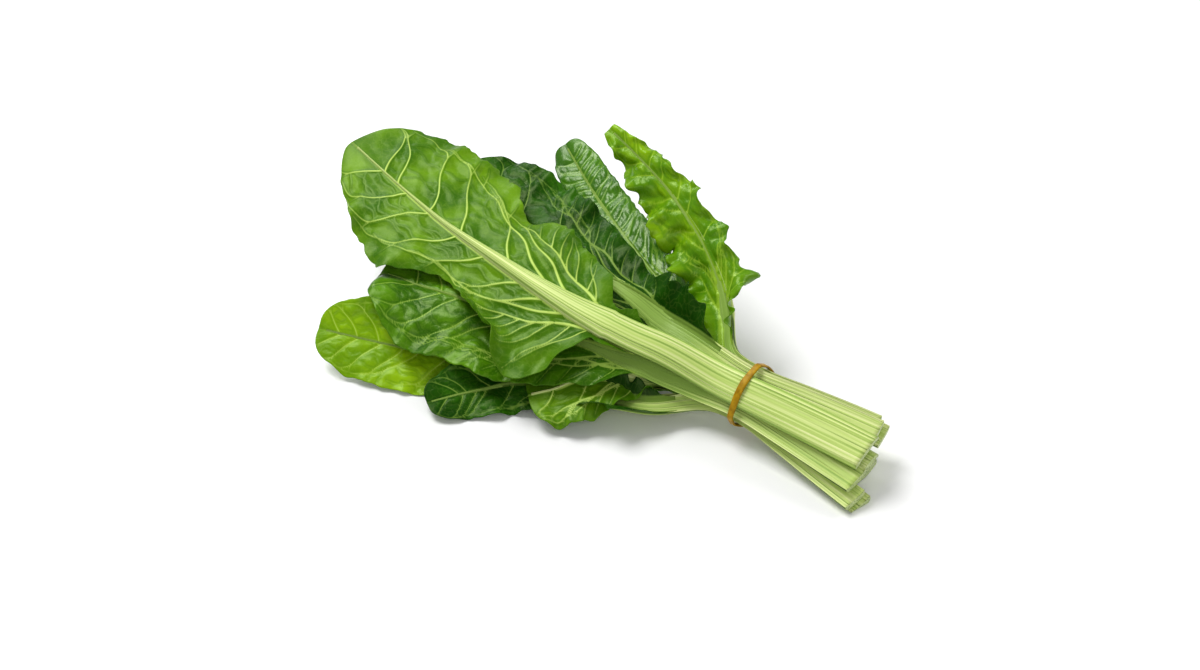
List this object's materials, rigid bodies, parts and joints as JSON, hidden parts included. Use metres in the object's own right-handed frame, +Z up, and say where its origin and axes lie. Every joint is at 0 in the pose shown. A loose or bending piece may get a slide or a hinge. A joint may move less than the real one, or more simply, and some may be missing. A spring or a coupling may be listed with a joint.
{
  "type": "chard bunch",
  "caption": "Bunch of green chard lying down: broad crinkled leaves on pale flattened ribbed stalks, held by a rubber band near the cut ends.",
  "frame": {"origin": "on the table under the middle of the bunch's bounding box", "axes": "+X along the bunch from the leaf tips to the cut ends of the stalks, +Y to the far side, +Z up"},
  "size_m": [0.4202, 0.2296, 0.1057],
  "materials": {
    "stalk": "satin",
    "blade_deep": "satin",
    "blade_bright": "satin",
    "band": "matte"
  },
  "bodies": {
    "root": {"leaf_front_low_stalk": "stalk", "leaf_front_low_blade": "blade_bright", "leaf_back_low_stalk": "stalk", "leaf_back_low_blade": "blade_deep", "leaf_front_short_stalk": "stalk", "leaf_front_short_blade": "blade_deep", "leaf_front_middle_stalk": "stalk", "leaf_front_middle_blade": "blade_bright", "leaf_middle_stalk": "stalk", "leaf_middle_blade": "blade_deep", "leaf_back_ribbed_stalk": "stalk", "leaf_back_ribbed_blade": "blade_deep", "leaf_front_high_stalk": "stalk", "leaf_front_high_blade": "blade_deep", "leaf_back_broad_stalk": "stalk", "leaf_back_broad_blade": "blade_deep", "leaf_back_tall_stalk": "stalk", "leaf_back_tall_blade": "blade_bright", "leaf_top_stalk": "stalk", "leaf_top_blade": "blade_bright", "rubber_band": "band"}
  },
  "joints": []
}
